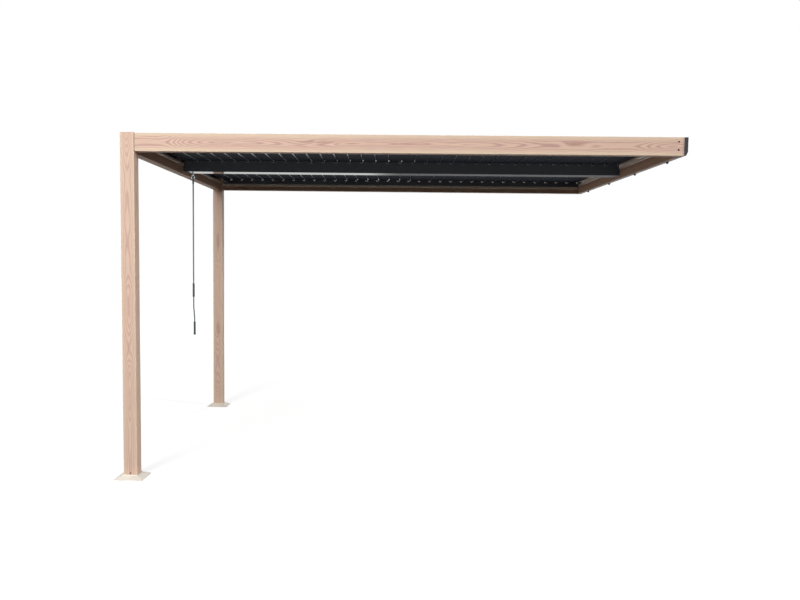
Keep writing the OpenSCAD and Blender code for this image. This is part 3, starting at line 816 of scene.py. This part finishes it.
class PERGOLA_OT_stage(bpy.types.Operator):
    """Lay the floor and set the lamps, the room light and the camera"""

    bl_idname = "pergola.stage"
    bl_label = "Set the stage"

    # Camera place and aim, in metres and degrees, from the ledger's wall face
    eye = Vector((-2.068, -7.029, -0.8405))
    yaw, pitch, roll = 1.39, -4.3, 0.7
    shift = (0.03675, 0.027)
    target = (-2.0, 0.0, -0.6)
    # Each lamp's place and diameter; its power has the same name in the studio's settings
    lamps = {
        "key": ((-5.6, -9.6, 1.7), 3.6),
        "left": ((-18.0, 2.5, -1.2), 2.4),
        "rear": ((1.0, 13.0, 3.5), 4.0),
        "right": ((11.0, -4.5, 1.4), 3.0),
    }

    def execute(self, context):
        studio = context.scene.pergola_studio
        self.lay_floor()
        self.light_room(studio)
        self.set_camera(context, studio)
        return {"FINISHED"}

    def seen_or_mirrored(self, tree):
        """1 for camera, mirror and see-through rays, and 0 for the light that spreads."""
        path = tree.nodes.new("ShaderNodeLightPath")
        total = None
        for name in ("Is Camera Ray", "Is Glossy Ray", "Is Transmission Ray"):
            if total is None:
                total = path.outputs[name]
                continue
            larger = tree.nodes.new("ShaderNodeMath")
            larger.operation = "MAXIMUM"
            tree.links.new(total, larger.inputs[0])
            tree.links.new(path.outputs[name], larger.inputs[1])
            total = larger.outputs[0]
        return total

    def lay_floor(self):
        """Lays the pale floor just under the feet; it shines only for the camera and mirrors."""
        size, gap = 60.0, 0.0005
        near_edge, far_edge = 3.0, 14.0
        level = CAD_BOX[0][2] - gap
        mesh = bpy.data.meshes.new("floor")
        sides = [(-1, -1), (1, -1), (1, 1), (-1, 1)]
        corners = [(x * size, y * size, level) for x, y in sides]
        mesh.from_pydata(corners, [], [(0, 1, 2, 3)])
        floor = bpy.data.objects.new("floor", mesh)
        bpy.context.collection.objects.link(floor)
        finish = Finish("floor_paint")
        seen = Field(finish, self.seen_or_mirrored(finish.tree))
        (x, y, _), _ = finish.place()
        far = (x * x + y * y).root().step(near_edge, far_edge)
        shown = finish.blend(far, grey(0.70), grey(0.92))
        glow = finish.blend(seen, BLACK, shown)
        finish.set(
            Base_Color=finish.blend(seen, grey(0.08), grey(0.6)),
            Emission_Color=glow, Emission_Strength=1.0,
            Roughness=0.9, Specular_IOR_Level=0.0)
        mesh.materials.append(finish.material)

    def light_room(self, studio):
        """Makes a white surrounding that gives only a weak even light, and hangs the lamps."""
        world = bpy.data.worlds.new("room")
        bpy.context.scene.world = world
        world.use_nodes = True
        tree = world.node_tree
        background = tree.nodes["Background"]
        background.inputs["Color"].default_value = (1.0, 1.0, 1.0, 1.0)
        strength = tree.nodes.new("ShaderNodeMix")
        strength.data_type = "FLOAT"
        tree.links.new(self.seen_or_mirrored(tree), strength.inputs[0])
        strength.inputs[2].default_value = studio.sky_strength
        strength.inputs[3].default_value = 1.0
        tree.links.new(strength.outputs[0], background.inputs["Strength"])
        for name, (place, size) in self.lamps.items():
            self.hang_lamp(name + "_lamp", place, size, getattr(studio, name + "_power"))

    def hang_lamp(self, name, place, size, power):
        """Hangs a round lamp that shines on the target under the roof."""
        lamp = bpy.data.lights.new(name, "AREA")
        lamp.shape = "DISK"
        lamp.size = size
        lamp.energy = power
        holder = bpy.data.objects.new(name, lamp)
        aim = (Vector(self.target) - Vector(place)).to_track_quat("-Z", "Y")
        holder.matrix_world = Matrix.Translation(place) @ aim.to_matrix().to_4x4()
        bpy.context.collection.objects.link(holder)

    def set_camera(self, context, studio):
        """Sets the camera and the view transform."""
        yaw, pitch, roll = (math.radians(angle) for angle in (self.yaw, self.pitch, self.roll))
        forward = Vector((
            -math.sin(yaw) * math.cos(pitch), math.cos(yaw) * math.cos(pitch), math.sin(pitch)))
        level = Vector((math.cos(yaw), math.sin(yaw), 0.0))
        upright = level.cross(forward)
        right = level * math.cos(roll) + upright * math.sin(roll)
        up = upright * math.cos(roll) - level * math.sin(roll)
        lens = bpy.data.cameras.new("camera")
        lens.sensor_width = 36.0
        lens.lens = studio.focal_length
        lens.shift_x, lens.shift_y = self.shift
        lens.clip_end = 200.0
        camera = bpy.data.objects.new("camera", lens)
        turn = Matrix((right, up, -forward)).transposed().to_4x4()
        camera.matrix_world = Matrix.Translation(self.eye) @ turn
        context.collection.objects.link(camera)
        context.scene.camera = camera
        context.scene.view_settings.view_transform = "Standard"


class PERGOLA_PT_panel(bpy.types.Panel):
    """Lists the steps that dress the pergola"""

    bl_idname = "PERGOLA_PT_panel"
    bl_label = "Pergola"
    bl_space_type = "VIEW_3D"
    bl_region_type = "UI"
    bl_category = "Pergola"

    def draw(self, context):
        for step in STEPS:
            self.layout.operator(step.bl_idname)


SETTINGS = {
    "pergola_look": PergolaLook,
    "pergola_fittings": PergolaFittings,
    "pergola_studio": PergolaStudio,
}
STEPS = (
    PERGOLA_OT_foil_frame,
    PERGOLA_OT_coat_metal,
    PERGOLA_OT_pivot_bushes,
    PERGOLA_OT_seam_seals,
    PERGOLA_OT_joint_shade_strips,
    PERGOLA_OT_frame_screws,
    PERGOLA_OT_stage,
)
CLASSES = (*SETTINGS.values(), *STEPS, PERGOLA_PT_panel)


def register():
    for one in CLASSES:
        bpy.utils.register_class(one)
    for name, group in SETTINGS.items():
        setattr(bpy.types.Scene, name, bpy.props.PointerProperty(type=group))


def unregister():
    for name in SETTINGS:
        delattr(bpy.types.Scene, name)
    for one in reversed(CLASSES):
        bpy.utils.unregister_class(one)


def main():
    register()
    for step in STEPS:
        group, name = step.bl_idname.split(".")
        getattr(getattr(bpy.ops, group), name)()


if __name__ == "__main__":
    main()
